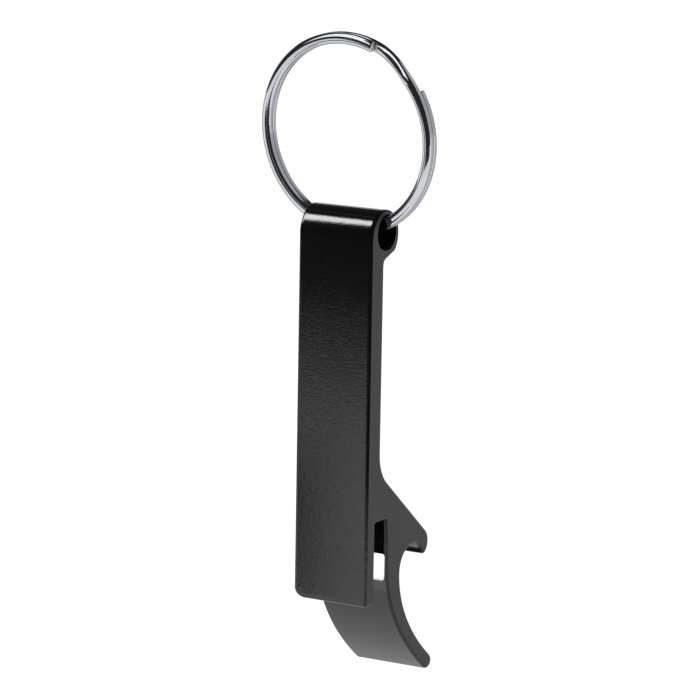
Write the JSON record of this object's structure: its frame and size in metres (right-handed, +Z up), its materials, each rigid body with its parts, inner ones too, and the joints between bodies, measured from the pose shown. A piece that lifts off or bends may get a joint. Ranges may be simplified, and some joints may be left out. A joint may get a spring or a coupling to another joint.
{
  "type": "keychain bottle opener",
  "caption": "Black aluminium keychain bottle opener sawn from an extrusion, with a can tab slot, a cap hook and a blade, hanging on a steel split ring.",
  "frame": {"origin": "inside top of the split ring, where a hook or a bunch of keys carries it", "axes": "+X along the extrusion and the ring hole, -Y out of the opener's plain front face, +Z up"},
  "size_m": [0.0248, 0.0171, 0.0811],
  "materials": {
    "opener_body": "satin black coating on aluminium, matte on the sawn faces",
    "split_ring": "polished nickel-plated steel"
  },
  "bodies": {
    "ring": {"split_ring": "split_ring"},
    "opener": {"opener_body": "opener_body"}
  },
  "joints": [
    {"name": "ring_swing", "type": "hinge", "parent": "ring", "child": "opener", "pos_m": [0, 0.00193, -0.02254], "axis": [1, 0, 0], "range_deg": [-160, 178]}
  ]
}
